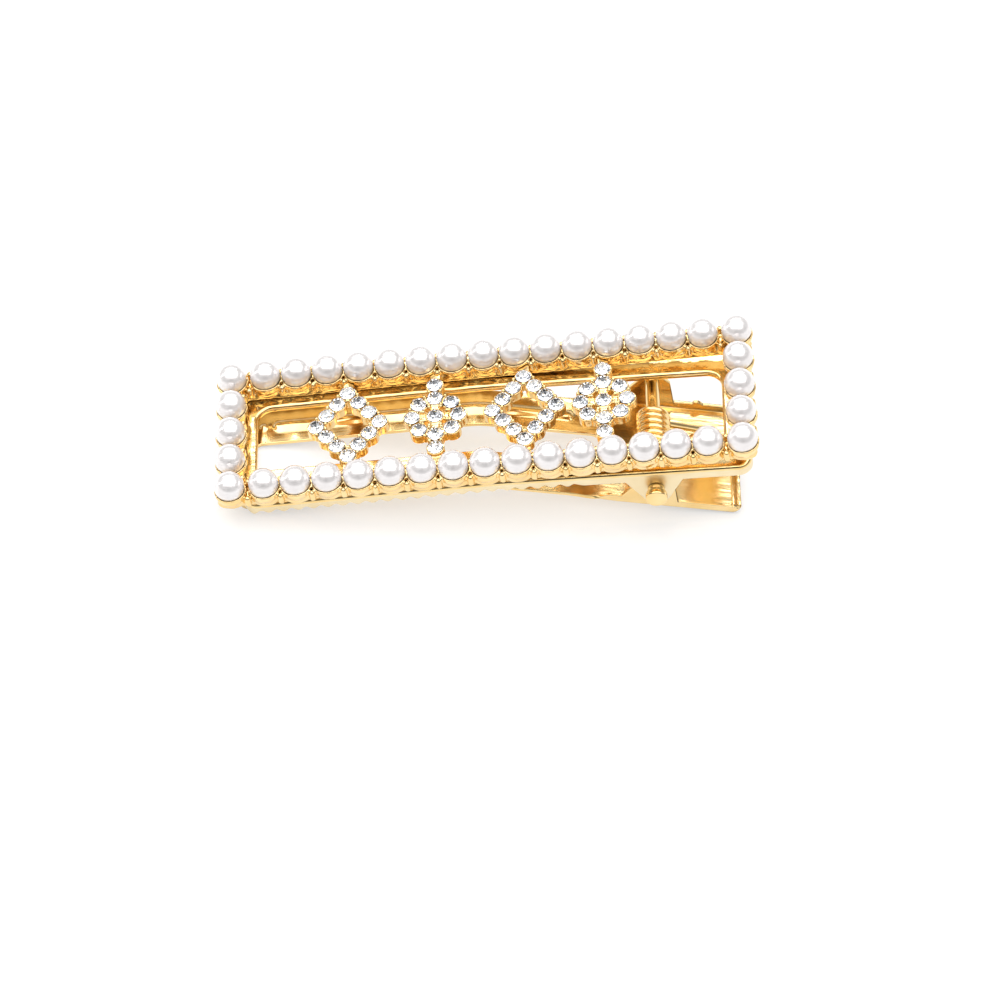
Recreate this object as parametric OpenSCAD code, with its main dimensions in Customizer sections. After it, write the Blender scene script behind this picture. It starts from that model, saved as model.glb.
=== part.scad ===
// Barrette: a sprung beak clip with a pearl-edged frame and four stone-set motifs.
// Millimetres, +Z up. The closed clip rests on its lower jaw, and the origin is on
// the table under the middle of it.
// Everything is described in the flat frame of the pearls: u along the clip from the
// beak to the tail, v across it, w up from the plane of the pearl centres.
// clip_frame() leans that frame back and lifts it on to the table.

/* [Pearls] */
// Diameter of one pearl
pearl_d = 4; // [3.6:0.05:4.1]
// Spacing of the pearls along the two long rows
row_pitch = 4.13; // [4.13:0.01:4.3]
// Extra space beside each corner pearl
corner_extra = 0.35; // [0:0.05:0.5]
// Distance from the middle of the clip to each long row
row_half = 9.3; // [9:0.1:10]

/* [Pearl frame] */
// Outside radius of a pearl cup
cup_r = 2.1; // [2.1:0.05:2.4]
// Radius of the peg each pearl is glued on
peg_r = 0.4; // [0.3:0.05:0.6]
// Radius of the beads between the cups
bead_r = 0.42; // [0.3:0.02:0.5]

/* [Motifs] */
// Diameter of one stone
stone_d = 2.1; // [1.8:0.05:2.2]
// Half height of a motif, between the stones at its two ends
motif_half = 5.35; // [5.2:0.05:5.4]
// Half width of a lozenge, between its stones
lozenge_half = 4.2; // [4:0.1:4.3]
// Radius of the ring of eight stones in a daisy
daisy_r = 3.05; // [2.95:0.05:3.1]

/* [Upper jaw] */
// Sheet thickness of both jaws
sheet_t = 0.5; // [0.4:0.05:0.6]
// Half width of the upper jaw
upper_half = 10; // [9.9:0.05:10.2]
// Half width of its window
window_half = 6.6; // [6:0.1:7]
// Height of its side flanges above the teeth
flange_h = 1.2; // [1.1:0.05:1.3]
// Height of its side flanges past the teeth
tail_flange_h = 1.7; // [1.5:0.1:1.9]
// Angle by which its tail bends down
tail_bend = 2.6; // [1.5:0.1:3]

/* [Lower jaw] */
// Half width of the tongue
tongue_half = 8.3; // [7.8:0.1:8.6]
// Half width of the lever
lever_half = 8.8; // [8.6:0.05:9]
// Half width of the slot along the tongue
slot_half = 2.3; // [1.8:0.1:2.4]
// Angle by which the lever slopes away from the tongue
lever_angle = 16.8; // [15:0.1:18]

/* [Pin and spring] */
// Radius of the hinge pin
pin_r = 0.95; // [0.8:0.05:1]
// Radius of the pin's heads
head_r = 1.42; // [1.3:0.02:1.6]
// Diameter of the spring wire
wire_d = 0.9; // [0.8:0.02:0.95]
// Turns of the spring's coil
coil_turns = 8; // [6:1:9]

/* [Hidden] */
fine = 64;
medium = 40;
glue_gap = 0.03;
run_gap = 0.05;
reach = 60;

// pearl rows
row_count = 17;
side_count = 3;
row_mid = (row_count - 1) / 2;
pearl_r = pearl_d / 2;
corner_u = row_mid * row_pitch + corner_extra;
side_pitch = 2 * row_half / (side_count + 1);
drill_depth = 1.9;
drill_r = peg_r + run_gap;
peg_top = -0.3;

// pearl frame, heights in the w direction
cup_rim_w = -0.72;
cup_belly_w = -0.95;
cup_waist_w = -1.55;
cup_foot_w = -2.05;
cup_base_w = -2.4;
cup_waist_in = 0.1;
cup_foot_in = 0.35;
cup_base_in = 0.7;
band_base_w = -3.47;
band_top_w = -2.3;
band_inner = 1.25;
band_outer = 0.65;
band_corner = 1;
bead_offset = 1.45;
bead_w = -1.2;
spur_half = 0.3;
spur_h = 0.5;

// motifs
motif_u = [-18, -6.5, 5.2, 15.6];
setting_r = 1.2;
setting_top_w = -0.75;
setting_base_w = -2.1;
strut_half = 0.7;
strut_top_w = -1.2;
strut_reach = row_half - bead_offset;
bar_half = 0.55;
bar_drop = 0.1;
claw_foot = 0.3;
claw_r = 0.26;
claw_side = 0.76;
claw_w = -0.62;
stone_r = stone_d / 2;
girdle_w = -0.7;
girdle_h = 0.12;
table_r = 0.58;
crown_h = 0.42;
pavilion_h = 0.95;
seat_gap = 0.02;
daisy_count = 8;
per_side = 3;

// upper jaw
upper_top_w = -3.5;
upper_left = -32.3;
upper_right = 34.2;
upper_corner = 2;
window_left = -30.4;
window_right = 30.7;
window_corner = 2;
window_lip = 0.35;
beak_half = 7.5;
tooth_pitch = 1.95;
tooth_count = 21;
tooth_first = -28.9;
tooth_r = 0.95;
tooth_drop = 0.5;
fang_u = -31;
fang_drop = 0.6;
step_start = 10.8;
step_end = 12.2;
ear_left = 17.6;
ear_right = 25;
ear_top_in = 0.4;
ear_foot_r = 2;
ear_foot_drop = 0.85;
ear_slope_left = 203;
ear_slope_right = -26;

// hinge
pin_u = 21.4;
pin_w = -7.65;
neck_r = 1.12;
neck_l = 0.6;
neck_edge = 0.1;
groove_r = 0.98;
groove_l = 0.25;
head_l = 1.05;
head_edge = 0.12;

// lower jaw
tongue_top_w = -5.6;
tongue_left = -33;
tip_start = -31.5;
tip_r = 6;
tip_sweep = 30;
tip_narrow = 7;
tip_chamfer = 1.3;
bend_u = -1.35;
flare_start = 9.5;
flare_end = 16.5;
rim_start = 13;
rim_full = 16.5;
rim_h = 1;
pip_u = 26.9;
pip_r = 0.6;
lever_bend_u = 30.4;
curl_r = 1.2;
curl_angle = 95;
curl_steps = 5;
slot_left = -31;
slot_right = 14;
slot_round = 1;
rib_v = 5.1;
rib_half = 0.95;
rib_corner = 0.94;
rib_h = 0.35;
rib_left = -28.8;
rib_right = 11;
dimple_u = -29.9;
dimple_r = 0.45;
lug_left = 16.6;
lug_right = 23.8;
lug_shoulder_w = -8.3;
lug_top_r = 1.6;
lug_slope_left = 145;
lug_slope_right = 20;

// spring
coil_mean_r = 1.8;
coil_far_v = 2.95;
coil_pitch = wire_d * 0.985;
lower_leg_end = [27.2, 4.5, -13.75];
upper_leg_u = 32;
upper_leg_w = -6.32;

// the underside of the lever and the two rounded places the clip rests on
tongue_base_w = tongue_top_w - sheet_t;
function lever_base(u) = tongue_base_w - (u - bend_u) * tan(lever_angle);
function lever_at(u, up) = [u + up * sin(lever_angle), lever_base(u) + up * cos(lever_angle)];
tip_centre = [tip_start, tongue_base_w + tip_r];
curl_centre = lever_at(lever_bend_u, curl_r);
function curl_at(turn, r) = curl_centre + r * [sin(turn - lever_angle), -cos(turn - lever_angle)];
rest_span = curl_centre - tip_centre;
tilt = -atan2(rest_span[1], rest_span[0]) - asin((tip_r - curl_r) / norm(rest_span));
lift = tip_r - (tip_centre[0] * sin(tilt) + tip_centre[1] * cos(tilt));
shift = sin(tilt) * (cup_rim_w + cup_belly_w) / 2;

gold = [0.87, 0.66, 0.28];
pearl_white = [0.95, 0.93, 0.92];
crystal = [0.9, 0.94, 0.97];

// place of each pearl, and its name
function row_u(i) = i == 0 ? -corner_u : i == row_count - 1 ? corner_u : (i - row_mid) * row_pitch;
function between(i) = (row_u(i) + row_u(i + 1)) / 2;
function two(i) = i < 10 ? str("0", i) : str(i);
ROW_I = [for (i = [0 : row_count - 1]) i];
SIDE_I = [for (i = [1 : side_count]) i];
PEARL_AT = concat(
    [for (i = ROW_I) [row_u(i), row_half]],
    [for (i = ROW_I) [row_u(i), -row_half]],
    [for (i = SIDE_I) [-corner_u, row_half - i * side_pitch]],
    [for (i = SIDE_I) [corner_u, row_half - i * side_pitch]]
);
PEARLS = concat(
    [for (i = ROW_I) str("pearl_far_", two(i + 1))],
    [for (i = ROW_I) str("pearl_near_", two(i + 1))],
    [for (i = SIDE_I) str("pearl_beak_", i)],
    [for (i = SIDE_I) str("pearl_tail_", i)]
);

// stones of a lozenge, going round it, and of a daisy: its ring, then its centre and ends
LOZENGE_CORNERS = [
    [0, motif_half], [lozenge_half, 0], [0, -motif_half], [-lozenge_half, 0], [0, motif_half]
];
LOZENGE = [
    for (c = [0 : 3])
        for (k = [0 : per_side - 1])
            LOZENGE_CORNERS[c] + (LOZENGE_CORNERS[c + 1] - LOZENGE_CORNERS[c]) * k / per_side
];
DAISY_RING = [
    for (k = [0 : daisy_count - 1])
        daisy_r * [sin(k * 360 / daisy_count), cos(k * 360 / daisy_count)]
];
DAISY = concat(DAISY_RING, [[0, 0], [0, motif_half], [0, -motif_half]]);

module clip_frame() {
    translate([shift, 0, lift])
        rotate([0, -tilt, 0])
            children();
}

// draws a flat shape given in u and w as a plate from one v to another
module side_plate(v_from, v_to) {
    translate([0, v_to, 0])
        rotate([90, 0, 0])
            linear_extrude(v_to - v_from)
                children();
}

// a rectangle with rounded corners, given by its left, right, half width and radius
module rounded(left, right, half, r) {
    translate([left + r, -half])
        square([right - left - 2 * r, 2 * half]);
    translate([left, r - half])
        square([right - left, 2 * (half - r)]);
    for (u = [left + r, right - r], v = [r - half, half - r])
        translate([u, v])
            circle(r, $fn = fine);
}

module column(r, w_from, w_to) {
    translate([0, 0, w_from])
        cylinder(r = r, h = w_to - w_from, $fn = medium);
}

// a straight round rod between two points
module rod(from, to, r) {
    run = to - from;
    translate(from)
        rotate([0, acos(run[2] / norm(run)), atan2(run[1], run[0])])
            cylinder(r = r, h = norm(run), $fn = medium);
}

// ---- pearls and their frame ----

module pearl(at) {
    color(pearl_white)
        clip_frame()
            translate([at[0], at[1], 0])
                difference() {
                    sphere(pearl_r, $fn = fine);
                    column(drill_r, -pearl_r - 1, drill_depth - pearl_r);
                }
}

module cup() {
    rotate_extrude($fn = fine)
        polygon([
            [0, cup_base_w], [cup_r - cup_base_in, cup_base_w], [cup_r - cup_foot_in, cup_foot_w],
            [cup_r - cup_waist_in, cup_waist_w], [cup_r, cup_belly_w], [cup_r, cup_rim_w],
            [0, cup_rim_w]
        ]);
}

// a bead beside the line of the cups, on a spur from the band; turn says to which side
module bead(turn) {
    rotate([0, 0, turn]) {
        translate([bead_offset, 0]) {
            column(bead_r, band_top_w, bead_w);
            translate([0, 0, bead_w])
                sphere(bead_r, $fn = medium);
        }
        translate([0, -spur_half, band_top_w - spur_h])
            cube([bead_offset, 2 * spur_half, 2 * spur_h]);
    }
}

module band_outline(out) {
    rounded(-corner_u - out, corner_u + out, row_half + out, band_corner);
}

module frame_band() {
    translate([0, 0, band_base_w])
        linear_extrude(band_top_w - band_base_w)
            difference() {
                band_outline(band_outer);
                band_outline(-band_inner);
            }
}

module pearl_frame() {
    color(gold)
        clip_frame() {
            difference() {
                union() {
                    frame_band();
                    for (at = PEARL_AT)
                        translate(at)
                            cup();
                    for (i = [0 : row_count - 2], v = [-row_half, row_half], turn = [-90, 90])
                        translate([between(i), v])
                            bead(turn);
                    for (i = [0 : side_count], u = [-corner_u, corner_u], turn = [0, 180])
                        translate([u, row_half - (i + 0.5) * side_pitch])
                            bead(turn);
                }
                for (at = PEARL_AT)
                    translate(at)
                        sphere(pearl_r + glue_gap, $fn = fine);
            }
            for (at = PEARL_AT)
                translate(at)
                    column(peg_r, cup_base_w, peg_top);
        }
}

// ---- motifs ----

module stone() {
    rotate_extrude($fn = fine)
        polygon([
            [0, girdle_w - pavilion_h], [stone_r, girdle_w], [stone_r, girdle_w + girdle_h],
            [table_r, girdle_w + girdle_h + crown_h], [0, girdle_w + girdle_h + crown_h]
        ]);
}

module seat() {
    rotate_extrude($fn = fine)
        polygon([
            [0, girdle_w - pavilion_h - 2 * seat_gap], [stone_r + seat_gap, girdle_w - seat_gap],
            [stone_r + seat_gap, 0], [0, 0]
        ]);
}

module stones(places, u) {
    color(crystal)
        clip_frame()
            translate([u, 0, 0])
                for (at = places)
                    translate(at)
                        stone();
}

module bar(from, to) {
    run = to - from;
    translate([from[0], from[1], setting_base_w])
        rotate([0, 0, atan2(run[1], run[0])])
            translate([0, -bar_half, 0])
                cube([norm(run), 2 * bar_half, setting_top_w - setting_base_w - bar_drop]);
}

// two small claws in the notches between neighbouring stones
module claws(from, to) {
    run = (to - from) / norm(to - from);
    for (side = [-1, 1])
        translate((from + to) / 2 + side * claw_side * [-run[1], run[0]]) {
            column(claw_r, setting_base_w + claw_foot, claw_w);
            translate([0, 0, claw_w])
                sphere(claw_r, $fn = medium);
        }
}

module struts(u) {
    for (side = [0, 180])
        rotate([0, 0, side])
            difference() {
                translate([-strut_half, motif_half, setting_base_w])
                    cube([2 * strut_half, strut_reach - motif_half, strut_top_w - setting_base_w]);
                for (i = [0 : row_count - 1])
                    if (abs(row_u(i) - u) < cup_r + strut_half)
                        translate([(row_u(i) - u) * cos(side), row_half])
                            column(cup_r + seat_gap, setting_base_w - 1, 0);
                for (i = [0 : row_count - 2])
                    if (abs(between(i) - u) < bead_r + strut_half + 2 * seat_gap)
                        translate([(between(i) - u) * cos(side), strut_reach])
                            column(bead_r + seat_gap, setting_base_w - 1, 0);
            }
}

module setting(places, links, u) {
    color(gold)
        clip_frame()
            translate([u, 0, 0])
                difference() {
                    union() {
                        for (at = places)
                            translate(at)
                                column(setting_r, setting_base_w, setting_top_w);
                        for (link = links) {
                            bar(link[0], link[1]);
                            claws(link[0], link[1]);
                        }
                        struts(u);
                    }
                    for (at = places)
                        translate(at)
                            seat();
                }
}

LOZENGE_LINKS = [for (k = [0 : 11]) [LOZENGE[k], LOZENGE[(k + 1) % 12]]];
DAISY_LINKS = concat(
    [for (k = [0 : daisy_count - 1]) [DAISY_RING[k], DAISY_RING[(k + 1) % daisy_count]]],
    [[DAISY[8], DAISY[0]], [DAISY[8], DAISY[4]], [DAISY[8], DAISY[2]], [DAISY[8], DAISY[6]]],
    [[DAISY[0], DAISY[9]], [DAISY[4], DAISY[10]]]
);

// ---- upper jaw ----

// height of the plate's top at u, and a band of the side view hung from it
function upper_w(u) = upper_top_w - max(0, u) * tan(tail_bend);
module upper_band(drop_from, drop_to) {
    polygon([
        [upper_left - 1, upper_w(0) - drop_from], [0, upper_w(0) - drop_from],
        [reach, upper_w(reach) - drop_from], [reach, upper_w(reach) - drop_to],
        [0, upper_w(0) - drop_to], [upper_left - 1, upper_w(0) - drop_to]
    ]);
}

// side view of the plate and its flanges, which are deeper past the teeth
module flange_side() {
    polygon([
        [upper_left - 1, upper_w(0)], [0, upper_w(0)], [reach, upper_w(reach)],
        [reach, upper_w(reach) - tail_flange_h], [step_end, upper_w(step_end) - tail_flange_h],
        [step_start, upper_w(step_start) - flange_h], [0, upper_w(0) - flange_h],
        [upper_left - 1, upper_w(0) - flange_h]
    ]);
}

module upper_outline(inset) {
    rounded(upper_left + inset, upper_right - inset, upper_half - inset, upper_corner - inset);
}

module window_outline(grow) {
    rounded(
        window_left - grow, window_right + grow, window_half + grow, window_corner + grow
    );
}

module through(r_from, r_to) {
    translate([0, 0, r_from])
        linear_extrude(r_to - r_from)
            children();
}

// teeth along the beak's flanges, and the larger one at its end
module tooth(u, drop) {
    translate([u, upper_w(u) - flange_h - drop + tooth_r])
        circle(tooth_r, $fn = medium);
}

module teeth_side() {
    for (k = [0 : tooth_count - 1])
        tooth(tooth_first + k * tooth_pitch, tooth_drop);
    tooth(fang_u, fang_drop);
}

module ear_side() {
    top_w = upper_w(pin_u) - flange_h + ear_top_in;
    foot = [pin_u, pin_w - ear_foot_drop];
    polygon([
        [ear_left, top_w], [ear_right, top_w],
        foot + ear_foot_r * [cos(ear_slope_right), sin(ear_slope_right)],
        foot + ear_foot_r * [cos(ear_slope_left), sin(ear_slope_left)]
    ]);
    translate(foot)
        circle(ear_foot_r, $fn = fine);
}

module upper_sides() {
    intersection() {
        for (v = [-upper_half, upper_half - sheet_t])
            side_plate(v, v + sheet_t) {
                teeth_side();
                ear_side();
            }
        side_plate(-reach / 2, reach / 2)
            upper_band(sheet_t, reach);
    }
}

module pin_hole(r) {
    translate([pin_u, 0, pin_w])
        rotate([90, 0, 0])
            cylinder(r = r, h = reach, center = true, $fn = fine);
}

module upper_jaw() {
    color(gold)
        clip_frame()
            difference() {
                union() {
                    intersection() {
                        through(-reach, 0)
                            upper_outline(0);
                        union() {
                            side_plate(-reach / 2, reach / 2)
                                flange_side();
                            upper_sides();
                        }
                    }
                }
                // hollow under the plate, but for the lip round its window
                difference() {
                    intersection() {
                        through(-reach, 0)
                            upper_outline(sheet_t);
                        side_plate(-reach / 2, reach / 2)
                            upper_band(sheet_t, reach);
                    }
                    intersection() {
                        through(-reach, 0)
                            window_outline(sheet_t);
                        side_plate(-reach / 2, reach / 2)
                            upper_band(0, sheet_t + window_lip);
                    }
                }
                through(-reach, 0)
                    window_outline(0);
                // the beak's end is open between its two corners
                translate([upper_left - 1, -beak_half, -reach])
                    cube([1 + 2 * sheet_t, 2 * beak_half, reach + upper_top_w - sheet_t]);
                pin_hole(pin_r + glue_gap);
            }
}

// ---- lower jaw ----

// a strip of sheet bent to an arc of outside radius r, between two angles
module ring_arc(r, from, to) {
    step = (360 + from - to) / 6;
    difference() {
        circle(r, $fn = fine);
        circle(r - sheet_t, $fn = fine);
        polygon(concat(
            [[0, 0]],
            [for (k = [0 : 6]) 3 * r * [cos(to + step * k), sin(to + step * k)]]
        ));
    }
}

// side view of the lower jaw's sheet, from its tip to the start of the lever's curl
module sheet_side(up_from, up_to) {
    polygon([
        [tip_start, tongue_base_w + up_from],
        [bend_u + up_from * tan(lever_angle / 2), tongue_base_w + up_from],
        lever_at(lever_bend_u, up_from), lever_at(lever_bend_u, up_to),
        [bend_u + up_to * tan(lever_angle / 2), tongue_base_w + up_to],
        [tip_start, tongue_base_w + up_to]
    ]);
}

module floor_side() {
    sheet_side(0, sheet_t);
    translate(tip_centre)
        ring_arc(tip_r, 270 - tip_sweep, 270);
    translate(curl_centre)
        ring_arc(curl_r, 270 - lever_angle, 270 - lever_angle + curl_angle);
}

// side view of a rim, from inside the sheet up to its top edge
module rim_side() {
    polygon(concat(
        [
            lever_at(rim_start, sheet_t / 2), lever_at(rim_full, sheet_t + rim_h),
            lever_at(lever_bend_u, sheet_t + rim_h)
        ],
        [
            for (k = [curl_steps : -1 : 0])
                curl_at(curl_angle * k / curl_steps, curl_r - sheet_t / 2)
        ]
    ));
}

module lower_outline(inset) {
    half = tongue_half - inset;
    wide = lever_half - inset;
    polygon([
        [tongue_left, -tip_narrow], [tongue_left + tip_chamfer, -half], [flare_start, -half],
        [flare_end, -wide], [reach, -wide], [reach, wide], [flare_end, wide],
        [flare_start, half], [tongue_left + tip_chamfer, half], [tongue_left, tip_narrow]
    ]);
}

module lug_side() {
    polygon([
        [lug_left, lever_base(lug_left) + rim_h], [lug_right, lever_base(lug_right) + rim_h],
        [lug_right, lug_shoulder_w],
        [pin_u, pin_w] + lug_top_r * [cos(lug_slope_right), sin(lug_slope_right)],
        [pin_u, pin_w] + lug_top_r * [cos(lug_slope_left), sin(lug_slope_left)]
    ]);
    translate([pin_u, pin_w])
        circle(lug_top_r, $fn = fine);
}

module ribs() {
    for (v = [-rib_v, rib_v]) {
        intersection() {
            through(-reach, 0)
                translate([0, v])
                    rounded(rib_left, rib_right, rib_half, rib_corner);
            side_plate(-reach / 2, reach / 2)
                sheet_side(sheet_t / 2, sheet_t + rib_h);
        }
        translate([dimple_u, v, tongue_top_w])
            column(dimple_r, -sheet_t / 2, rib_h);
    }
}

module lower_jaw() {
    color(gold)
        clip_frame()
            difference() {
                union() {
                    intersection() {
                        through(-reach, 0)
                            lower_outline(0);
                        side_plate(-reach / 2, reach / 2)
                            floor_side();
                    }
                    intersection() {
                        through(-reach, 0)
                            difference() {
                                lower_outline(0);
                                lower_outline(sheet_t);
                            }
                        side_plate(-reach / 2, reach / 2)
                            rim_side();
                    }
                    for (v = [-lever_half, lever_half - sheet_t])
                        side_plate(v, v + sheet_t)
                            lug_side();
                    side_plate(lever_half - sheet_t, lever_half)
                        translate(lever_at(pip_u, sheet_t + rim_h))
                            circle(pip_r, $fn = medium);
                    ribs();
                }
                through(-reach, 0)
                    rounded(slot_left, slot_right, slot_half, slot_round);
                pin_hole(pin_r + run_gap);
            }
}

// ---- hinge pin and spring ----

module pin_half() {
    neck = upper_half + glue_gap;
    groove = upper_half + neck_l;
    head = groove + groove_l;
    end = head + head_l;
    rotate_extrude($fn = fine)
        polygon([
            [0, 0], [pin_r, 0], [pin_r, neck], [neck_r - neck_edge, neck],
            [neck_r, neck + neck_edge], [neck_r, groove - neck_edge],
            [neck_r - neck_edge, groove], [groove_r, groove], [groove_r, head],
            [head_r - head_edge, head], [head_r, head + head_edge], [head_r, end - head_edge],
            [head_r - head_edge, end], [0, end]
        ]);
}

module hinge_pin() {
    color(gold)
        clip_frame()
            translate([pin_u, 0, pin_w])
                for (side = [90, -90])
                    rotate([side, 0, 0])
                        pin_half();
}

module torsion_spring() {
    wire_r = wire_d / 2;
    far_v = coil_far_v - wire_r;
    near_v = far_v - (coil_turns - 1) * coil_pitch;
    color(gold)
        clip_frame() {
            for (k = [0 : coil_turns - 1])
                translate([pin_u, far_v - k * coil_pitch, pin_w])
                    rotate([90, 0, 0])
                        rotate_extrude($fn = fine)
                            translate([coil_mean_r, 0])
                                circle(wire_r, $fn = medium);
            rod([pin_u, far_v, pin_w - coil_mean_r], lower_leg_end, wire_r);
            rod([pin_u, near_v, pin_w + coil_mean_r], [upper_leg_u, near_v, upper_leg_w], wire_r);
        }
}

upper_jaw();
lower_jaw();
hinge_pin();
torsion_spring();
pearl_frame();
setting(LOZENGE, LOZENGE_LINKS, motif_u[0]);  // lozenge_setting_1
setting(DAISY, DAISY_LINKS, motif_u[1]);  // daisy_setting_1
setting(LOZENGE, LOZENGE_LINKS, motif_u[2]);  // lozenge_setting_2
setting(DAISY, DAISY_LINKS, motif_u[3]);  // daisy_setting_2
stones(LOZENGE, motif_u[0]);  // lozenge_stones_1
stones(DAISY, motif_u[1]);  // daisy_stones_1
stones(LOZENGE, motif_u[2]);  // lozenge_stones_2
stones(DAISY, motif_u[3]);  // daisy_stones_2
for (k = [0 : len(PEARLS) - 1])
    pearl(PEARL_AT[k]);
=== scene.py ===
# Barrette with a pearl-edged frame: the visual model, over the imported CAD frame.
import bpy
import bmesh
import math
import random
from mathutils import Matrix, Vector, noise


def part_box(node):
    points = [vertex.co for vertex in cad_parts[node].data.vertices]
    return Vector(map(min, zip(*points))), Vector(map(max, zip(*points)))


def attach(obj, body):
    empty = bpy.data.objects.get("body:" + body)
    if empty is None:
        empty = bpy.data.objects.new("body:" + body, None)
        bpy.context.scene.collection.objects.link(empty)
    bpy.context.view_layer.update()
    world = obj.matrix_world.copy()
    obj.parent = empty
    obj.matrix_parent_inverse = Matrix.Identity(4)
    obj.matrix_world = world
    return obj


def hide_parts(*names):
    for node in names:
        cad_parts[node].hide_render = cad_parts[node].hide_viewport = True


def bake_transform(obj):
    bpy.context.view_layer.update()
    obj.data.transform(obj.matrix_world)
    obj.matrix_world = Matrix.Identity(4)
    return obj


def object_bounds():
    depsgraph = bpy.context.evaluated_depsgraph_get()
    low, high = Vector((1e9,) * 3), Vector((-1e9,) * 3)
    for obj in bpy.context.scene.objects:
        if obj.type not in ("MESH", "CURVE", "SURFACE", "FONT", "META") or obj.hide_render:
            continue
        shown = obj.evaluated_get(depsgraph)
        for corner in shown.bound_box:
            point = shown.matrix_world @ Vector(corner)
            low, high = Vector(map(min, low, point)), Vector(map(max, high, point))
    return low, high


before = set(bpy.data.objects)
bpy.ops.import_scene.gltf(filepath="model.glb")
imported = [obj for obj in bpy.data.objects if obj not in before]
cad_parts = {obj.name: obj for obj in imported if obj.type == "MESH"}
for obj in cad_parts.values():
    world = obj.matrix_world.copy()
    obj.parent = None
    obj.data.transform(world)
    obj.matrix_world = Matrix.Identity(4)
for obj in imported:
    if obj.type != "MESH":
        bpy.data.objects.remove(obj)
cad_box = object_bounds()

MM = 0.001
SHEET = 0.5              # thickness of both jaws' sheet
BEND = math.tan(math.radians(2.6))     # slope of the upper jaw's plate behind its bend
BEND_ROUND = 1.2         # how gently it bends
LEVER = math.radians(16.8)             # slope of the lower jaw's lever
PIN = (21.4, -7.65)      # the hinge's axis, along the clip and up
SHAFT = 0.95             # the pin's radius between its collars
PRESS_GAP, RUN_GAP = 0.03, 0.05    # round the pin in the ears, and in the lugs that turn on it
DRILL_REACH = 12         # from the middle plane past both ends of the pin


# ---- the plate frame: u along the clip, v across it, w up from the pearls' centres ----

def pearl_centre(name):
    lo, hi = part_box(name)
    radius = (hi[0] - lo[0]) / 2
    return Vector(((lo[0] + hi[0]) / 2, (lo[1] + hi[1]) / 2, hi[2] - radius))


corners = [pearl_centre(n) for n in ("pearl_far_01", "pearl_far_17", "pearl_near_01", "pearl_near_17")]
centre = sum(corners, Vector()) / 4
along = (corners[1] - corners[0]).normalized()
across = Vector((0, 1, 0))
up = along.cross(across)
PLATE = Matrix.Translation(centre) @ Matrix((along, across, up)).transposed().to_4x4()
TO_PLATE = PLATE.inverted()
ROW_V = 9                # the pearls of the two long rows stand further out than this

PEARLS = sorted(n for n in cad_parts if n.startswith("pearl_") and n != "pearl_frame")


def span(node):
    """Lowest and highest corner of a CAD node in the plate frame, in millimetres."""
    points = [TO_PLATE @ v.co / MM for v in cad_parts[node].data.vertices]
    return (Vector([min(p[k] for p in points) for k in range(3)]),
            Vector([max(p[k] for p in points) for k in range(3)]))


def smooth(a, b, x):
    t = min(1, max(0, (x - a) / (b - a)))
    return t * t * (3 - 2 * t)


# ---- materials ----

def material(name, **inputs):
    m = bpy.data.materials.new(name)
    m.use_nodes = True
    shader = m.node_tree.nodes["Principled BSDF"]
    for key, value in inputs.items():
        shader.inputs[key.replace("_", " ")].default_value = value
    return m, shader


def noise_node(m, scale, detail, stretch=(1, 1, 1)):
    nodes, links = m.node_tree.nodes, m.node_tree.links
    coords = nodes.new("ShaderNodeTexCoord")
    mapping = nodes.new("ShaderNodeMapping")
    mapping.inputs["Scale"].default_value = stretch
    tex = nodes.new("ShaderNodeTexNoise")
    tex.inputs["Scale"].default_value = scale
    tex.inputs["Detail"].default_value = detail
    links.new(coords.outputs["Object"], mapping.inputs["Vector"])
    links.new(mapping.outputs["Vector"], tex.inputs["Vector"])
    return tex.outputs["Fac"]


def ramp(m, fac, stops):
    node = m.node_tree.nodes.new("ShaderNodeValToRGB")
    for i, (at, value) in enumerate(stops):
        element = node.color_ramp.elements[i] if i < 2 else node.color_ramp.elements.new(at)
        element.position = at
        element.color = tuple(value) + (1,)
    m.node_tree.links.new(fac, node.inputs["Fac"])
    return node.outputs["Color"]


def bump(m, shader, fac, strength, distance):
    node = m.node_tree.nodes.new("ShaderNodeBump")
    node.inputs["Strength"].default_value = strength
    node.inputs["Distance"].default_value = distance
    m.node_tree.links.new(fac, node.inputs["Height"])
    m.node_tree.links.new(node.outputs["Normal"], shader.inputs["Normal"])


# dark brown of the painted shade that the gold takes on in recesses
PAINTED_SHADE = (0.12, 0.07, 0.02, 1)


def gold(name, light, dark, rough, ripple, ripple_scale, recess, stretch=(1, 1, 1), shade=0.5):
    """Plated gold: colour that drifts between two tones, painted shade that darkens it in recesses, uneven
    polish, ripples.
    """
    m, shader = material(name, Metallic=1.0)
    nodes, links = m.node_tree.nodes, m.node_tree.links
    tone = ramp(m, noise_node(m, 260, 2), [(0.35, dark), (0.65, light)])
    # painted shade: ambient occlusion within the recess distance darkens the base colour towards a dark
    # brown
    open_air = nodes.new("ShaderNodeAmbientOcclusion")
    open_air.inputs["Distance"].default_value = recess
    open_air.samples = 8
    painted_shade_mix = nodes.new("ShaderNodeMix")
    painted_shade_mix.data_type = "RGBA"
    painted_shade_mix.inputs["A"].default_value = PAINTED_SHADE
    unshaded = ramp(m, open_air.outputs["AO"], [(0.05, (0, 0, 0)), (shade, (1, 1, 1))])
    links.new(unshaded, painted_shade_mix.inputs["Factor"])
    links.new(tone, painted_shade_mix.inputs["B"])
    links.new(painted_shade_mix.outputs["Result"], shader.inputs["Base Color"])
    polish = noise_node(m, 900, 4, stretch)
    low, high = rough
    links.new(ramp(m, polish, [(0.3, (low,) * 3), (0.75, (high,) * 3)]), shader.inputs["Roughness"])
    bump(m, shader, noise_node(m, ripple_scale, 2.5, stretch), ripple, 0.0001)
    return m


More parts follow.
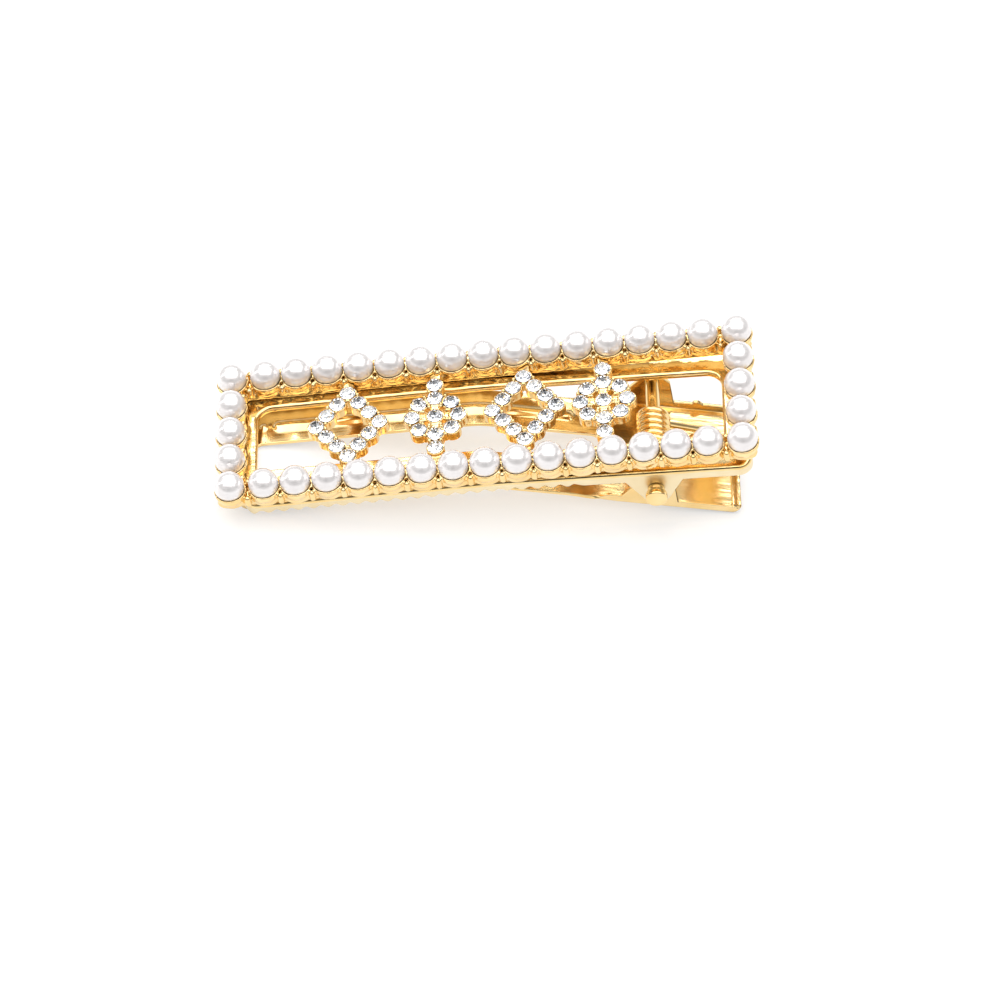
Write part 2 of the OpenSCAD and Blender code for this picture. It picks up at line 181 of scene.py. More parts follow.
LIGHT_GOLD = (0.95, 0.72, 0.37)
DARK_GOLD = (0.91, 0.64, 0.27)
CAST_DARK = (0.90, 0.63, 0.27)
LIGHT_SATIN = (0.88, 0.75, 0.50)
DARK_SATIN = (0.85, 0.70, 0.44)
sheet_gold = gold("sheet_gold", LIGHT_GOLD, DARK_GOLD, rough=(0.13, 0.22), ripple=0.40, ripple_scale=900,
                  recess=0.0022, stretch=(0.05, 1, 1), shade=0.62)
satin_gold = gold("satin_gold", LIGHT_SATIN, DARK_SATIN, rough=(0.32, 0.42), ripple=0.15, ripple_scale=2600,
                  recess=0.0004)
wire_gold = gold("wire_gold", LIGHT_GOLD, DARK_GOLD, rough=(0.10, 0.18), ripple=0.15, ripple_scale=700,
                 recess=0.0006)
cast_gold = gold("cast_gold", LIGHT_GOLD, CAST_DARK, rough=(0.12, 0.24), ripple=0.35, ripple_scale=700,
                 recess=0.0005, shade=0.22)


def pearl_material():
    m, shader = material("pearl", Metallic=0.38, Roughness=0.23, Coat_Weight=1.0, Coat_Roughness=0.05)
    body = ramp(m, noise_node(m, 420, 3), [(0.3, (0.88, 0.84, 0.83)), (0.7, (0.92, 0.89, 0.885))])
    m.node_tree.links.new(body, shader.inputs["Base Color"])
    bump(m, shader, noise_node(m, 1400, 3), 0.08, 0.00003)
    return m


pearl_white = pearl_material()

crystal, crystal_shader = material("crystal", Roughness=0.0, IOR=1.62, Transmission_Weight=1.0)
crystal.node_tree.links.new(
    ramp(crystal, noise_node(crystal, 500, 2), [(0.3, (0.97, 0.98, 1.0)), (0.7, (1.0, 1.0, 1.0))]),
    crystal_shader.inputs["Base Color"])
foil, foil_shader = material("foil", Metallic=1.0, Roughness=0.04)
foil.node_tree.links.new(
    ramp(foil, noise_node(foil, 700, 2), [(0.3, (0.90, 0.92, 0.96)), (0.7, (0.99, 0.98, 0.96))]),
    foil_shader.inputs["Base Color"])


# ---- mesh helpers ----

def put(name, verts, faces, materials, node, body="upper", is_smooth=True):
    """A mesh given in plate-frame millimetres, which rides on a body and stands for a CAD node."""
    mesh = bpy.data.meshes.new(name)
    mesh.from_pydata([PLATE @ (Vector(v) * MM) for v in verts], [], faces)
    mesh.update()
    for m in materials:
        mesh.materials.append(m)
    mesh.polygons.foreach_set("use_smooth", [is_smooth] * len(mesh.polygons))
    obj = bpy.data.objects.new(name, mesh)
    bpy.context.scene.collection.objects.link(obj)
    return dress(obj, node, body)


def dress(obj, node, body):
    """Attaches a piece to its body and hides the CAD node it stands for; the spring gets no body."""
    if body:
        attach(obj, body)
    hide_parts(node)
    return obj


def thicken(obj):
    """Gives a jaw's surface its sheet's thickness behind its face, and softens the cut edges."""
    solid = obj.modifiers.new("sheet", "SOLIDIFY")
    solid.thickness = SHEET * MM
    solid.offset = -1
    solid.use_quality_normals = True
    soften(obj, 0.1, 50)


def soften(obj, edge, angle):
    bevel = obj.modifiers.new("edges", "BEVEL")
    bevel.width = edge * MM
    bevel.segments = 3
    bevel.limit_method = "ANGLE"
    bevel.angle_limit = math.radians(angle)
    bevel.use_clamp_overlap = False
    normals = obj.modifiers.new("normals", "WEIGHTED_NORMAL")
    normals.keep_sharp = True


def lathe(profile, segments, axis):
    """Turns (radius, height) pairs about an axis: 'v' is the hinge's, 'w' a pearl's."""
    verts, faces = [], []
    rows = len(profile)
    for r, h in profile:
        for k in range(segments):
            a = 2 * math.pi * k / segments
            x, y = r * math.cos(a), r * math.sin(a)
            verts.append((x, h, y) if axis == "v" else (x, y, h))
    for i in range(rows - 1):
        for k in range(segments):
            a, b = i * segments + k, i * segments + (k + 1) % segments
            faces.append((a, b, b + segments, a + segments))
    faces.append(tuple(range(segments))[::-1])
    faces.append(tuple(range((rows - 1) * segments, rows * segments)))
    return verts, faces


def drill(obj, radius):
    """Bores the pin's hole through both sides of a jaw whose sheet already has its thickness."""
    verts, faces = lathe([(radius, DRILL_REACH), (radius, -DRILL_REACH)], 64, "v")
    mesh = bpy.data.meshes.new("drill")
    mesh.from_pydata([PLATE @ (Vector((PIN[0] + a, b, PIN[1] + c)) * MM) for a, b, c in verts], [], faces)
    bit = bpy.data.objects.new("drill", mesh)
    bpy.context.scene.collection.objects.link(bit)
    bore = obj.modifiers.new("bore", "BOOLEAN")
    bore.operation = "DIFFERENCE"
    bore.solver = "EXACT"
    bore.object = bit
    last = len(obj.modifiers) - 1
    obj.modifiers.move(last, last - 1)
    graph = bpy.context.evaluated_depsgraph_get()
    drilled = bpy.data.meshes.new_from_object(obj.evaluated_get(graph), depsgraph=graph)
    obj.modifiers.clear()
    obj.data = drilled
    bpy.data.objects.remove(bit)


# ---- upper jaw: one formed sheet with its window, flanges, teeth and ears ----

jaw_lo, jaw_hi = span("upper_jaw")
TOP = jaw_hi[2]
ROLL = 0.55
FLANGE, TAIL_FLANGE = 1.2, 1.7
TOOTH_PITCH, TOOTH_FIRST, TOOTH_DROP, TEETH = 1.95, -28.9, 0.5, 21
FANG = -31.0             # a longer tooth at the beak
EAR_LEFT, EAR_RIGHT, EAR_R = 17.6, 25.0, 2.0
EAR_FOOT = PIN[1] - 0.85
EAR_TANGENTS = ((203, -1, EAR_LEFT), (-26, 1, EAR_RIGHT))     # where its sides leave the round foot
SIDE_V = 9.0             # the long flanges stand further out than this
LIP = 0.62               # depth of the flange across the beak's end
JAW_CORNER = 2.0
WINDOW = (-30.4, 30.7, 6.6, 2.0)       # left, right, half width and corner
WINDOW_DROP = 0.85       # how far the window's edge is turned down


def sag(u):
    """How far the plate has bent down at u."""
    return BEND * (u + math.sqrt(u * u + BEND_ROUND)) / 2


def ear_bottom(u):
    """Height of the ear's lower edge at u, or None beside it."""
    if not EAR_LEFT < u < EAR_RIGHT:
        return None
    top = TOP - sag(u) - TAIL_FLANGE
    for angle, foot_side, corner in EAR_TANGENTS:
        a = math.radians(angle)
        tu, tw = PIN[0] + EAR_R * math.cos(a), EAR_FOOT + EAR_R * math.sin(a)
        if foot_side * (u - tu) > 0:
            t = (u - corner) / (tu - corner)
            return top + (tw - top) * t
    return EAR_FOOT - math.sqrt(max(0, EAR_R ** 2 - (u - PIN[0]) ** 2))


def flange_depth(u, v):
    """Depth of the flange under the plate's top at a point of the outline."""
    end = LIP + (FLANGE - LIP) * smooth(7.3, 7.9, abs(v))
    if u < jaw_lo[0] + 0.02:
        return end
    depth = FLANGE + (TAIL_FLANGE - FLANGE) * smooth(10.6, 12.4, u)
    last = TOOTH_FIRST + (TEETH - 0.5) * TOOTH_PITCH
    if abs(v) > SIDE_V and FANG - TOOTH_PITCH / 2 < u < last:
        first = TOOTH_FIRST - TOOTH_PITCH / 2
        if u < first:
            phase, drop = (u - FANG) / TOOTH_PITCH, TOOTH_DROP + 0.1
        else:
            phase, drop = (u - TOOTH_FIRST) / TOOTH_PITCH, TOOTH_DROP
        crest = 0.5 + 0.5 * math.cos(2 * math.pi * phase)
        depth += drop * crest ** 0.9
    foot = ear_bottom(u)
    if foot is not None and abs(v) > SIDE_V:
        depth = max(depth, TOP - sag(u) - foot)
    return depth


def rounded_ring(left, right, half, corner, n_long=650, n_end=120, n_arc=10):
    """A rounded rectangle with the same number of points however large it is, counter-clockwise."""
    ring = []

    def line(a, b, n):
        for k in range(n):
            t = k / n
            ring.append((a[0] + (b[0] - a[0]) * t, a[1] + (b[1] - a[1]) * t))

    def arc(cu, cv, start):
        for k in range(n_arc):
            a = math.radians(start + 90 * k / n_arc)
            ring.append((cu + corner * math.cos(a), cv + corner * math.sin(a)))

    line((left + corner, -half), (right - corner, -half), n_long)
    arc(right - corner, corner - half, -90)
    line((right, corner - half), (right, half - corner), n_end)
    arc(right - corner, half - corner, 0)
    line((right - corner, half), (left + corner, half), n_long)
    arc(left + corner, half - corner, 90)
    line((left, half - corner), (left, corner - half), n_end)
    arc(left + corner, corner - half, 180)
    return ring


def build_upper_jaw():
    outer = (jaw_lo[0], jaw_hi[0], jaw_hi[1], JAW_CORNER)

    def grown(shape, g):
        return rounded_ring(shape[0] - g, shape[1] + g, shape[2] + g, shape[3] + g)

    rings = [(grown(WINDOW, 0), WINDOW_DROP)]
    steps = [0, 15, 30, 45, 60, 75, 90]
    for a in steps:
        a = math.radians(a)
        rings.append((grown(WINDOW, ROLL * (1 - math.cos(a))), ROLL * (1 - math.sin(a))))
    for a in reversed(steps):
        a = math.radians(a)
        rings.append((grown(outer, -ROLL * (1 - math.cos(a))), ROLL * (1 - math.sin(a))))
    rings.append((grown(outer, 0), None))
    verts, faces = [], []
    for ring, drop in rings:
        for u, v in ring:
            verts.append((u, v, TOP - sag(u) - (flange_depth(u, v) if drop is None else drop)))
    n = len(rings[0][0])
    for i in range(len(rings) - 1):
        for k in range(n):
            a, b = i * n + k, i * n + (k + 1) % n
            faces.append((a, a + n, b + n, b))
    obj = put("upper_jaw_sheet", verts, faces, [sheet_gold, satin_gold], "upper_jaw")
    for p in obj.data.polygons:
        if p.index >= (len(rings) - 2) * n:
            p.material_index = 1
    thicken(obj)
    drill(obj, SHAFT + PRESS_GAP)


# ---- lower jaw: tongue, lever, turned-up rims, lugs and curled end from one sheet ----

low_lo, low_hi = span("lower_jaw")
TONGUE = -5.6            # top face of the tongue
TONGUE_HALF, TIP_CORNER = 8.3, 1.3
TIP_U, TIP_R = -31.5, 5.5              # where the tip starts to turn up, and its arc
SLOT = (-31, 14)
SLOT_HALF, SLOT_ROUND = 2.3, 1
RIB_V, RIB_HALF, RIB_H = 5.1, 0.95, 0.38
RIB_ENDS = (-27.85, 10.05)
DIMPLE_U, DIMPLE_R, DIMPLE_H = -29.9, 0.72, 0.28
BEND_U, CURL_U, CURL_R = -1.35, 30.4, 1.2
LEVER_ROUND = 0.8        # how gently the tongue bends into the lever
CURL_TURN = math.radians(95)
CURL_MID = CURL_R - SHEET / 2          # radius to the middle of the curled sheet
FLARE = (9.5, 16.5)      # where the lever widens
FOLD = (12.0, 15.5)      # where its edges turn up into rims
EDGE, FOLD_R = 0.65, 0.15              # width that folds up, and the fold's radius
RIM = 1.0
RIM_STAND = 1.04         # upright height of the leaning rim, for each millimetre of it
PIP_U, PIP_R, PIP_H = 26.9, 0.6, 0.45  # a small bump on the far rim
LUG_LEFT, LUG_RIGHT, LUG_TOP, LUG_SHOULDER = 16.6, 23.8, 1.6, -8.3
LUG_TANGENTS = (math.radians(145), math.radians(20))


def lever_at(u, above):
    base = TONGUE - SHEET - (u - BEND_U) * math.tan(LEVER)
    return u + above * math.sin(LEVER), base + above * math.cos(LEVER)


CURL_CENTRE = lever_at(CURL_U, CURL_R)
LEVER_END = lever_at(CURL_U, SHEET)


def floor_rows():
    """(u, w) of the sheet's top face from the tip to the end of the curl."""
    rows = []
    u = low_lo[0]
    while u < LEVER_END[0]:
        if u < TIP_U:
            w = TONGUE + TIP_R - math.sqrt(TIP_R ** 2 - (u - TIP_U) ** 2)
        else:
            x = u - BEND_U - SHEET * math.tan(LEVER / 2)
            w = TONGUE - math.tan(LEVER) * (x + math.sqrt(x * x + LEVER_ROUND)) / 2
        rows.append((u, w))
        near_lug = abs(u - LUG_RIGHT) < 0.2
        near_slot_end = u < SLOT[0] + 2 or SLOT[1] - 1.2 < u < SLOT[1] + 0.2
        u += 0.05 if near_lug else 0.09 if near_slot_end else 0.16
    for k in range(13):
        turn = CURL_TURN * k / 12
        r = CURL_R - SHEET
        a = turn - LEVER
        rows.append((CURL_CENTRE[0] + r * math.sin(a), CURL_CENTRE[1] - r * math.cos(a)))
    return rows


def floor_half(u):
    half = TONGUE_HALF + (low_hi[1] - TONGUE_HALF) * smooth(*FLARE, u)
    inward = min(1, (u - low_lo[0]) / TIP_CORNER)
    return half - TIP_CORNER * (1 - math.sqrt(max(0, 1 - (1 - inward) ** 2)))


def slot_half(u):
    end = min(SLOT_ROUND, max(SLOT[0] + SLOT_ROUND - u, u - SLOT[1] + SLOT_ROUND, 0))
    return SLOT_HALF - SLOT_ROUND + math.sqrt(SLOT_ROUND ** 2 - end ** 2)


def stamped(u, v):
    """Height of the pressed ribs and dimples."""
    off_rib = math.hypot(max(RIB_ENDS[0] - u, u - RIB_ENDS[1], 0), abs(v) - RIB_V)
    rib = RIB_H * (1 - smooth(0.35, 1.0, off_rib / RIB_HALF))
    off_dimple = math.hypot(u - DIMPLE_U, abs(v) - RIB_V)
    return rib + DIMPLE_H * (1 - smooth(0.1, 1.0, off_dimple / DIMPLE_R))


def rim_top(u, w, far):
    """Height of the rim, or of the lug, above the sheet's top face at (u, w)."""
    if u > LEVER_END[0]:
        start = lever_at(CURL_U, SHEET + RIM)
        turn = CURL_TURN - LEVER
        end = (CURL_CENTRE[0] + CURL_MID * math.sin(turn), CURL_CENTRE[1] - CURL_MID * math.cos(turn))
        t = min(1, max(0, (u - start[0]) / (end[0] - start[0])))
        return max(0.16, start[1] + (end[1] - start[1]) * t - w)
    top = w + RIM * RIM_STAND
    if far and abs(u - PIP_U) < PIP_R:
        top += PIP_H * math.sqrt(PIP_R ** 2 - (u - PIP_U) ** 2) / PIP_R
    if LUG_LEFT < u < LUG_RIGHT:
        left, right = [(PIN[0] + LUG_TOP * math.cos(a), PIN[1] + LUG_TOP * math.sin(a))
                       for a in LUG_TANGENTS]
        foot = (LUG_LEFT, lever_at(LUG_LEFT, 0)[1] + RIM + 0.5)
        if u < left[0]:
            lug = foot[1] + (left[1] - foot[1]) * (u - foot[0]) / (left[0] - foot[0])
        elif u < right[0]:
            lug = PIN[1] + math.sqrt(LUG_TOP ** 2 - (u - PIN[0]) ** 2)
        else:
            lug = right[1] + (LUG_SHOULDER - right[1]) * (u - right[0]) / (LUG_RIGHT - right[0])
        top = max(top, lug)
    return top - w


def build_lower_jaw():
    rows = floor_rows()
    # columns between the slot and the fold, as parts of full, closest together across the ribs
    full = 5.4
    inner = [0.25, 0.6, 1.0, 1.4, 1.8, 2.05, 2.3, 2.55, 2.8, 3.0, 3.2, 3.45, 3.7, 3.95, 4.4, 4.9]
    strip = 8
    columns = 2 * (1 + len(inner) + strip)
    verts, faces = [], []
    for u, w in rows:
        half = floor_half(u)
        edge = slot_half(u)
        lift = smooth(*FOLD, u)
        fold_start = half - EDGE
        side = [(edge, 0)]
        for x in inner:
            v = edge + (fold_start - edge) * (x / full)
            side.append((v, stamped(u, v)))
        row = []
        for far in (False, True):
            points = list(side)
            height = rim_top(u, w, far)
            for k in range(strip):
                flat = fold_start + EDGE * k / (strip - 1)
                if k < 4:
                    a = math.radians(90 * k / 3)
                    upright = (fold_start + FOLD_R * math.sin(a), FOLD_R * (1 - math.cos(a)))
                else:
                    upright = (fold_start + FOLD_R, FOLD_R + (height - FOLD_R) * (k - 3) / (strip - 4))
                points.append((flat + (upright[0] - flat) * lift, upright[1] * lift))
            if far:
                row += [(u, v, w + h) for v, h in points]
            else:
                row = [(u, -v, w + h) for v, h in reversed(points)]
        verts += row
    middle = columns // 2 - 1
    for i in range(len(rows) - 1):
        in_slot = SLOT[0] <= (rows[i][0] + rows[i + 1][0]) / 2 <= SLOT[1]
        for k in range(columns - 1):
            if k == middle and in_slot:
                continue
            a = i * columns + k
            faces.append((a, a + columns, a + columns + 1, a + 1))
    obj = put("lower_jaw_sheet", verts, faces, [sheet_gold, satin_gold], "lower_jaw", "lower")
    thicken(obj)
    drill(obj, SHAFT + RUN_GAP)


# ---- hinge pin: shaft, collar, groove and domed flat head at each end ----

def build_pin():
    lo, hi = span("hinge_pin")
    end, shaft, collar, groove, head = hi[1], SHAFT, 1.14, 0.96, (hi[2] - lo[2]) / 2
    half = [(head - 0.30, end), (head - 0.12, end - 0.03), (head - 0.03, end - 0.12),
            (head, end - 0.3), (head, end - 0.8), (head - 0.04, end - 0.95), (head - 0.14, end - 1.04),
            (groove, end - 1.08), (groove, end - 1.27), (collar - 0.06, end - 1.30), (collar, end - 1.38),
            (collar, end - 1.76), (collar - 0.06, end - 1.85), (shaft, end - 1.87),
            (shaft, 0.9), (shaft, 0.3)]
    profile = half + [(r, -v) for r, v in reversed(half)]
    verts, faces = lathe(profile, 72, "v")
    verts = [(PIN[0] + a, b, PIN[1] + c) for a, b, c in verts]
    obj = put("hinge_pin_turned", verts, faces, [wire_gold], "hinge_pin")
    normals = obj.modifiers.new("normals", "WEIGHTED_NORMAL")
    normals.keep_sharp = True


# ---- torsion spring: one wire, wound from the lower leg round the pin to the upper leg ----

def build_spring():
    wire, mean = 0.45, 1.8             # the wire's radius, and the coil's to the wire's middle
    far_v, near_v = 2.5, -3.705        # the coil's two ends
    bottom = Vector((PIN[0], far_v, PIN[1] - mean))
    lower_end = Vector((27.2, 4.5, -13.75))
    top = Vector((PIN[0], near_v, PIN[1] + mean))
    upper_end = Vector((32.0, near_v, -6.32))
    path = []
    leg_end = bottom + Vector((1.3, 0.12, -0.15))
    pull = bottom + Vector((0.7, 0, 0))
    for k in range(14):
        path.append(lower_end.lerp(leg_end, k / 14))
    for k in range(10):
        t = k / 10
        path.append((leg_end * (1 - t) + pull * t) * (1 - t) + bottom * t * t + (pull * (1 - t)) * t)
    turns, per_turn = 6.5, 44
    steps = int(turns * per_turn)
    for k in range(steps + 1):
        a = -math.pi / 2 - 2 * math.pi * turns * k / steps
        v = far_v + (near_v - far_v) * k / steps
        path.append(Vector((PIN[0] + mean * math.cos(a), v, PIN[1] + mean * math.sin(a))))
    for k in range(1, 25):
        t = k / 24
        path.append(top.lerp(upper_end, t))
    sides = 14
    verts, faces = [], []
    normal = Vector((0, 1, 0))
    last = len(path) - 1
    for i, p in enumerate(path):
        tangent = (path[min(i + 1, last)] - path[max(i - 1, 0)]).normalized()
        normal = (normal - tangent * normal.dot(tangent)).normalized()
        other = tangent.cross(normal)
        for k in range(sides):
            a = 2 * math.pi * k / sides
            verts.append(p + wire * (normal * math.cos(a) + other * math.sin(a)))
    for i in range(last):
        for k in range(sides):
            a, b = i * sides + k, i * sides + (k + 1) % sides
            faces.append((a, b, b + sides, a + sides))
    faces.append(tuple(range(sides))[::-1])
    faces.append(tuple(range(last * sides, (last + 1) * sides)))
    obj = put("torsion_spring_wound", verts, faces, [wire_gold], "torsion_spring", None)
    soften(obj, 0.08, 60)
    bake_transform(obj)


# ---- pearl frame and motif settings: cast, so their CAD solids are fused and softened ----

LOBE_W, LOBE_H = -2.25, 1.08


def add_lobes(mesh):
    """Swellings in the frame's two faces under each pearl."""
    bm = bmesh.new()
    bm.from_mesh(mesh)
    rng = random.Random(11)
    for name in PEARLS:
        at = TO_PLATE @ pearl_centre(name) / MM
        in_row = abs(at[1]) > ROW_V
        for side in (-1, 1):
            out = side * rng.uniform(0.70, 0.80)
            place = Vector((at[0], at[1] + out, LOBE_W) if in_row else (at[0] + out, at[1], LOBE_W))
            long, short = rng.uniform(1.7, 1.85), rng.uniform(0.80, 0.90)
            size = (long, short, LOBE_H) if in_row else (short, long, LOBE_H)
            lobe = PLATE @ Matrix.Translation(place * MM) @ Matrix.Diagonal([x * MM for x in size] + [1])
            bmesh.ops.create_icosphere(bm, subdivisions=3, radius=1, matrix=lobe)
    bm.to_mesh(mesh)
    bm.free()


def cast(node, voxel, ripple, ripple_size):
    """Fuses a CAD node's solids on a voxel grid, then smooths and ripples them; sizes in millimetres."""
    obj = bpy.data.objects.new(node + "_cast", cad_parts[node].data.copy())
    bpy.context.scene.collection.objects.link(obj)
    if node == "pearl_frame":
        add_lobes(obj.data)
    obj.data.materials.clear()
    obj.data.materials.append(cast_gold)
    remesh = obj.modifiers.new("fuse", "REMESH")
    remesh.mode = "VOXEL"
    remesh.voxel_size = voxel * MM
    remesh.use_smooth_shade = True
    relax = obj.modifiers.new("relax", "SMOOTH")
    relax.factor = 0.5
    relax.iterations = 3
    texture = bpy.data.textures.new(node + "_ripple", "CLOUDS")
    texture.noise_scale = ripple_size * MM
    texture.noise_depth = 1
    rough = obj.modifiers.new("ripple", "DISPLACE")
    rough.texture = texture
    rough.texture_coords = "LOCAL"
    rough.strength = ripple * MM
    rough.mid_level = 0.5
    dress(obj, node, "upper")


# ---- stones: brilliant cut, clear crown over a foiled pavilion ----

def brilliant(radius, girdle, table, crown, pavilion, turn):
    """Vertices, faces and number of clear faces of one cut stone about its girdle's centre."""
    verts, faces = [], []

    def ring(r, h, n, offset):
        first = len(verts)
        for k in range(n):
            a = turn + 2 * math.pi * (k + offset) / n
            verts.append((r * math.cos(a), r * math.sin(a), h))
        return first

    t = ring(table, girdle + crown, 8, 0)
    m = ring(table + (radius - table) * 0.52, girdle + crown * 0.58, 8, 0.5)
    g = ring(radius, girdle, 16, 0)
    b = ring(radius, 0, 16, 0)
    p = ring(radius * 0.55, -pavilion * 0.42, 8, 0.5)
    culet = len(verts)
    verts.append((0, 0, -pavilion))
    faces.append(tuple(t + k for k in range(8)))
    for k in range(8):
        n, q = (k + 1) % 8, (k - 1) % 8
        faces.append((t + k, m + k, t + n))
        faces.append((t + k, m + q, g + 2 * k, m + k))
        faces.append((m + k, g + 2 * k, g + 2 * k + 1))
        faces.append((m + k, g + 2 * k + 1, g + (2 * k + 2) % 16))
    for k in range(16):
        n = (k + 1) % 16
        faces.append((g + k, b + k, b + n, g + n))
    clear = len(faces)
    for k in range(8):
        n, q = (k + 1) % 8, (k - 1) % 8
        faces.append((p + k, b + 2 * k + 1, b + 2 * k))
        faces.append((p + k, b + (2 * k + 2) % 16, b + 2 * k + 1))
        faces.append((b + 2 * k, p + q, culet, p + k))
    return verts, faces, clear


STONE_R, STONE_DROP = 1.05, 0.51       # radius, and how far its girdle is under the CAD stones' tops
MOTIF_TIP, LOZENGE_HALF, DAISY_R = 5.35, 4.2, 3.05


def build_stones(node, places, rng):
    lo, hi = span(node)
    mid_u = (lo[0] + hi[0]) / 2
    base = hi[2] - STONE_DROP
    verts, faces, back = [], [], []
    for u, v in places:
        some, cut, clear = brilliant(STONE_R, 0.1, 0.60, 0.40, 0.80, rng.random() * math.pi)
        tip_u, tip_v = rng.uniform(-0.05, 0.05), rng.uniform(-0.05, 0.05)
        first = len(verts)
        verts += [(mid_u + u + x, v + y, base + z + tip_u * x + tip_v * y) for x, y, z in some]
        for i, f in enumerate(cut):
            faces.append(tuple(first + k for k in f))
            back.append(i >= clear)
    obj = put(node + "_cut", verts, faces, [crystal, foil], node, is_smooth=False)
    for polygon, is_back in zip(obj.data.polygons, back):
        polygon.material_index = 1 if is_back else 0


def lozenge_places():
    tips = [(0, MOTIF_TIP), (LOZENGE_HALF, 0), (0, -MOTIF_TIP), (-LOZENGE_HALF, 0), (0, MOTIF_TIP)]
    return [(a[0] + (b[0] - a[0]) * k / 3, a[1] + (b[1] - a[1]) * k / 3)
            for a, b in zip(tips, tips[1:]) for k in range(3)]


def daisy_places():
    ring = [(DAISY_R * math.sin(k * math.pi / 4), DAISY_R * math.cos(k * math.pi / 4)) for k in range(8)]
    return ring + [(0, 0), (0, MOTIF_TIP), (0, -MOTIF_TIP)]


# ---- pearls: drilled spheres, each a little uneven ----

def pearl_mesh(radius, rng):
    hole, depth = 0.45, 1.9
    profile = [(0.02, radius)]
    start = math.asin(hole / radius)
    for k in range(1, 33):
        a = math.pi * k / 33
        if a < math.pi - start - 0.02:
            profile.append((radius * math.sin(a), radius * math.cos(a)))
    mouth = -radius * math.cos(start)
    profile += [(hole + 0.03, mouth), (hole, mouth + 0.04), (hole, depth - radius), (0.02, depth - radius)]
    verts, faces = lathe(profile, 56, "w")
    seed = Vector((rng.random(), rng.random(), rng.random())) * 50
    out = []
    for v in verts:
        v = Vector(v)
        out.append(v * (1 + 0.004 * noise.noise(v * 0.45 + seed)))
    return out, [f[::-1] for f in faces]


def build_pearls():
    rng = random.Random(7)
    shapes = []
    lo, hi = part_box(PEARLS[0])
    radius = (hi[0] - lo[0]) / 2 / MM
    for k in range(6):
        verts, faces = pearl_mesh(radius * 0.997, rng)
        mesh = bpy.data.meshes.new("pearl_shape_%d" % k)
        mesh.from_pydata([v * MM for v in verts], [], faces)
        mesh.update()
        mesh.polygons.foreach_set("use_smooth", [True] * len(mesh.polygons))
        mesh.materials.append(pearl_white)
        shapes.append(mesh)
    for name in PEARLS:
        obj = bpy.data.objects.new(name + "_lacquered", rng.choice(shapes))
        bpy.context.scene.collection.objects.link(obj)
        place = PLATE.copy()
        place.translation = pearl_centre(name)
        obj.matrix_world = place @ Matrix.Rotation(rng.uniform(0, 6.28), 4, "Z")
        dress(obj, name, "upper")


build_upper_jaw()
build_lower_jaw()
build_pin()
build_spring()
cast("pearl_frame", 0.12, 0.14, 0.9)
for motif in ("lozenge_setting_1", "daisy_setting_1", "lozenge_setting_2", "daisy_setting_2"):
    cast(motif, 0.075, 0.03, 0.6)
cuts = random.Random(3)
for motif in ("lozenge_stones_1", "lozenge_stones_2"):
    build_stones(motif, lozenge_places(), cuts)
for motif in ("daisy_stones_1", "daisy_stones_2"):
    build_stones(motif, daisy_places(), cuts)
build_pearls()


# ---- floor, light and camera ----

def build_floor():
    m, shader = material("floor", Roughness=0.08, Emission_Strength=0.58)
    shader.inputs["Emission Color"].default_value = (1, 1, 1, 1)
    m.node_tree.links.new(
        ramp(m, noise_node(m, 3, 2), [(0.3, (0.44, 0.44, 0.44)), (0.7, (0.46, 0.46, 0.46))]),
        shader.inputs["Base Color"])
    mesh = bpy.data.meshes.new("floor")
    mesh.from_pydata([(-2, -2, 0), (2, -2, 0), (2, 2, 0), (-2, 2, 0)], [], [(0, 1, 2, 3)])
    mesh.materials.append(m)
    floor = bpy.data.objects.new("floor", mesh)
    bpy.context.scene.collection.objects.link(floor)
    floor.location.z = cad_box[0][2] - 0.00002


def softbox(name, place, target, width, height, watts):
    light = bpy.data.lights.new(name, "AREA")
    light.shape = "RECTANGLE"
    light.size, light.size_y, light.energy = width, height, watts
    obj = bpy.data.objects.new(name, light)
    bpy.context.scene.collection.objects.link(obj)
    obj.location = place
    obj.rotation_euler = (Vector(target) - Vector(place)).to_track_quat("-Z", "Y").to_euler()


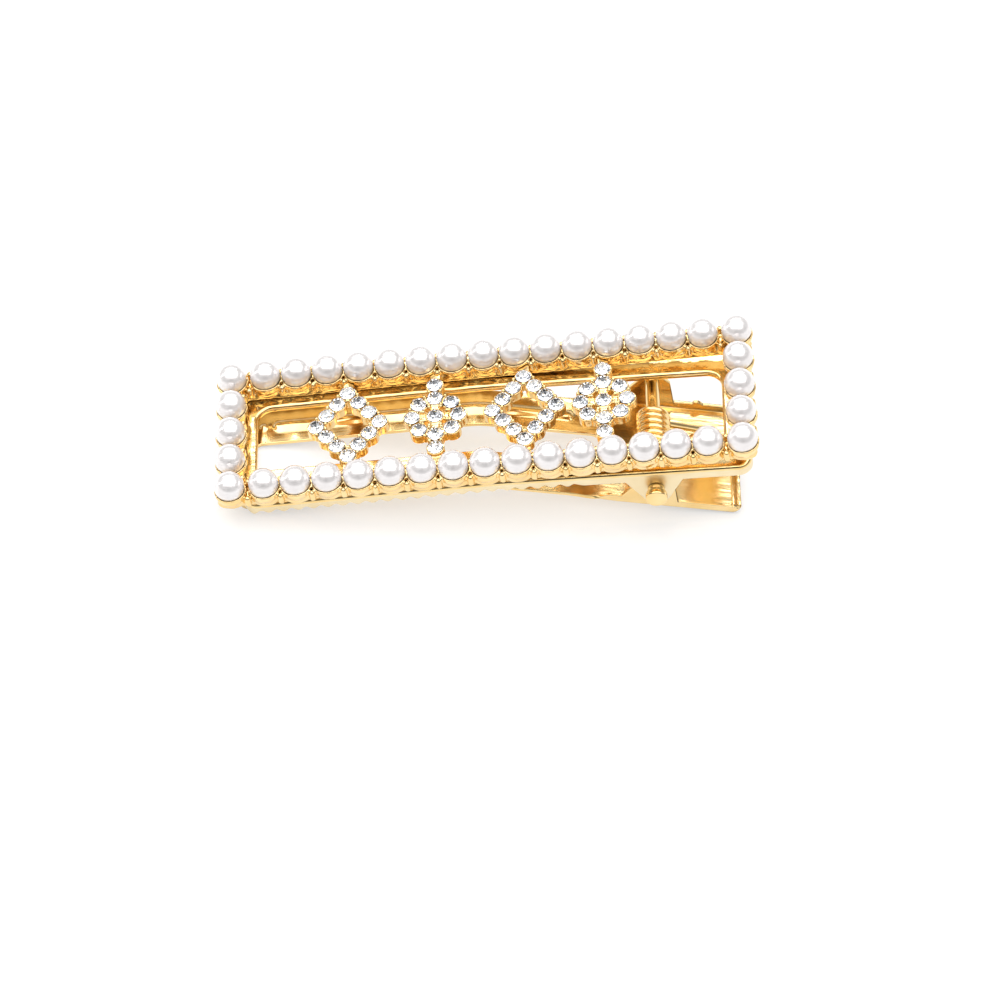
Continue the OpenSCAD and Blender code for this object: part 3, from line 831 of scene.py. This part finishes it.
def build_light():
    world = bpy.data.worlds.new("studio")
    bpy.context.scene.world = world
    world.use_nodes = True
    nodes, links = world.node_tree.nodes, world.node_tree.links
    coords = nodes.new("ShaderNodeTexCoord")
    split = nodes.new("ShaderNodeSeparateXYZ")
    tone = nodes.new("ShaderNodeValToRGB")
    for i, (at, value) in enumerate([(0.0, 1.0), (0.10, 0.7), (0.28, 0.25), (0.65, 0.30), (0.85, 0.8)]):
        element = tone.color_ramp.elements[i] if i < 2 else tone.color_ramp.elements.new(at)
        element.position = at
        element.color = (value, value, value, 1)
    links.new(coords.outputs["Generated"], split.inputs["Vector"])
    links.new(split.outputs["Z"], tone.inputs["Fac"])
    # a dark gap in the studio's white walls
    gap = nodes.new("ShaderNodeVectorMath")
    gap.operation = "DOT_PRODUCT"
    gap.inputs[1].default_value = (0.0, -0.86, 0.51)
    links.new(coords.outputs["Generated"], gap.inputs[0])
    dark = nodes.new("ShaderNodeMapRange")
    dark.interpolation_type = "SMOOTHSTEP"
    for key, value in (("From Min", 0.93), ("From Max", 0.985), ("To Min", 1.0), ("To Max", 0.1)):
        dark.inputs[key].default_value = value
    links.new(gap.outputs["Value"], dark.inputs["Value"])
    links.new(tone.outputs["Color"], nodes["Background"].inputs["Color"])
    links.new(dark.outputs["Result"], nodes["Background"].inputs["Strength"])
    softbox("overhead", (0.0, -0.03, 0.5), (0, 0, 0), 1.0, 0.62, 3.3)
    softbox("strip_behind", (-0.05, 0.42, 0.42), (0, 0, 0), 0.7, 0.05, 0.8)
    softbox("strip_left", (-0.5, 0.05, 0.30), (0, 0, 0), 0.06, 0.4, 0.35)


def build_camera():
    yaw, pitch, roll = math.radians(-2.19), math.radians(49), math.radians(1.888)
    distance, focal = 0.7268, 5.5891
    aside, below = 0.01625, 0.09238    # from the clip's centre to the aim, as shares of the picture's width
    d = Vector((math.sin(yaw) * math.cos(pitch), -math.cos(yaw) * math.cos(pitch), math.sin(pitch)))
    right = Vector((math.cos(yaw), math.sin(yaw), 0))
    top = right.cross(-d)
    x = right * math.cos(roll) + top * math.sin(roll)
    y = top * math.cos(roll) - right * math.sin(roll)
    place = centre + d * distance
    aim = centre + (x * aside - y * below) * distance / focal
    z = (place - aim).normalized()
    x = (x - z * x.dot(z)).normalized()
    y = z.cross(x)
    camera = bpy.data.cameras.new("camera")
    camera.sensor_width = 36
    camera.lens = 36 * focal
    camera.clip_start = 0.01
    obj = bpy.data.objects.new("camera", camera)
    bpy.context.scene.collection.objects.link(obj)
    obj.matrix_world = Matrix.Translation(place) @ Matrix((x, y, z)).transposed().to_4x4()
    bpy.context.scene.camera = obj


build_floor()
build_light()
build_camera()
bpy.context.scene.view_settings.view_transform = "Standard"
